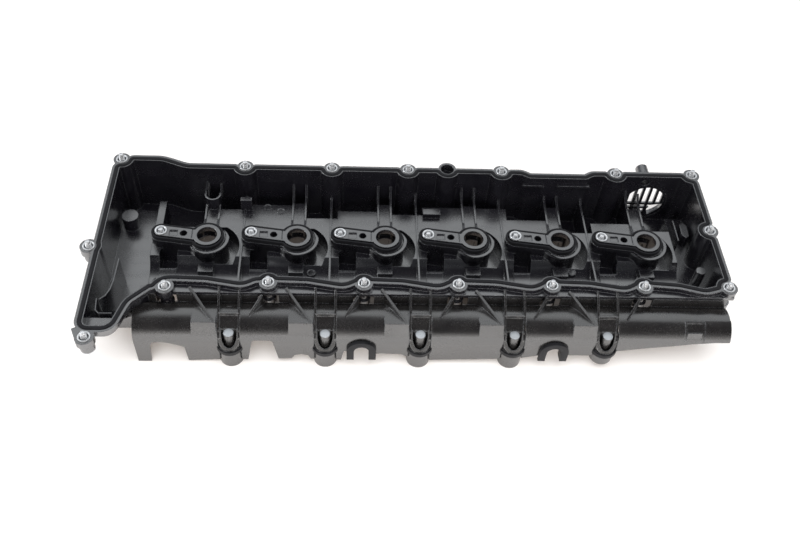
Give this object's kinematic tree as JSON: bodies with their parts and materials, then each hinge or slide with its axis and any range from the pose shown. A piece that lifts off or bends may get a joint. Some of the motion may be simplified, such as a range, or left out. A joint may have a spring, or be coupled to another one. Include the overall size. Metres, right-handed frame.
{
  "type": "engine valve cover",
  "caption": "Cam cover lying crown down: wavy gasketed flange with screws, ribbed deck with a row of injector bores, arched side apron with posts.",
  "frame": {"origin": "middle of the bounding box at its lowest point, where the cover rests on its crown", "axes": "+X along the row of injector bores, +Y from the apron side to the rear flange, +Z out of the gasket plane"},
  "size_m": [0.6417, 0.2474, 0.077],
  "materials": {
    "black_polyamide": "satin, glass-filled",
    "seal_rubber": "matt",
    "zinc_steel": "bright zinc"
  },
  "bodies": {
    "root": {"cover_shell": "black_polyamide", "side_apron": "black_polyamide", "filler_grille": "black_polyamide", "perimeter_gasket": "seal_rubber", "edge_grommet_left": "seal_rubber", "edge_grommet_right": "seal_rubber", "decoupling_rings": "seal_rubber", "injector_seal_1": "seal_rubber", "injector_seal_2": "seal_rubber", "injector_seal_3": "seal_rubber", "injector_seal_4": "seal_rubber", "injector_seal_5": "seal_rubber", "injector_seal_6": "seal_rubber", "flange_screws": "zinc_steel", "flange_sleeves": "zinc_steel", "injector_screws": "zinc_steel", "injector_sleeves": "zinc_steel"}
  },
  "joints": []
}
